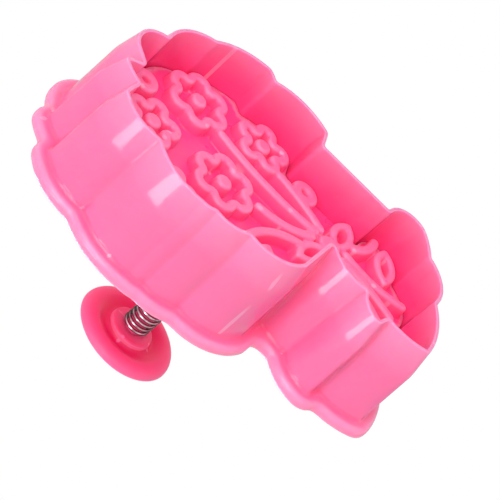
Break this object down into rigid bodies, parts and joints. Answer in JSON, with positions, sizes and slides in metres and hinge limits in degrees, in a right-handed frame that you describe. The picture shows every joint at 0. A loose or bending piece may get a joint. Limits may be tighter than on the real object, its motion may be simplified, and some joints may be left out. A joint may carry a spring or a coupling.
{
  "type": "plunger cutter",
  "caption": "Hand plunger cutter for dough and sugar paste: scalloped two-lobed cutting wall with a flange, a sprung embossing plate inside it, and a round push knob.",
  "frame": {"origin": "middle of the cutting edge's outline, on the plunger's axis, in the plane of the cutting edge", "axes": "+Z from the cutting edge to the push knob, +X along the longer way of the outline, from the small lobe to the large lobe"},
  "size_m": [0.0834, 0.0594, 0.0507],
  "materials": {
    "wall_plastic": "glossy, slightly translucent pink moulding",
    "plate_plastic": "glossy pink moulding",
    "rod_plastic": "satin dark pink moulding",
    "spring_steel": "bright drawn wire",
    "knob_plastic": "glossy crimson moulding"
  },
  "bodies": {
    "cutter": {"cutter_body": "wall_plastic", "return_spring": "spring_steel"},
    "plunger": {"emboss_plate": "plate_plastic", "plunger_rod": "rod_plastic", "push_knob": "knob_plastic"}
  },
  "joints": [
    {"name": "plunger_press", "type": "slide", "parent": "cutter", "child": "plunger", "axis": [0, 0, -1], "range_m": [0, 0.01], "stiffness_N_per_m": 725, "springref_m": -0.004, "deforming": ["return_spring"]}
  ]
}
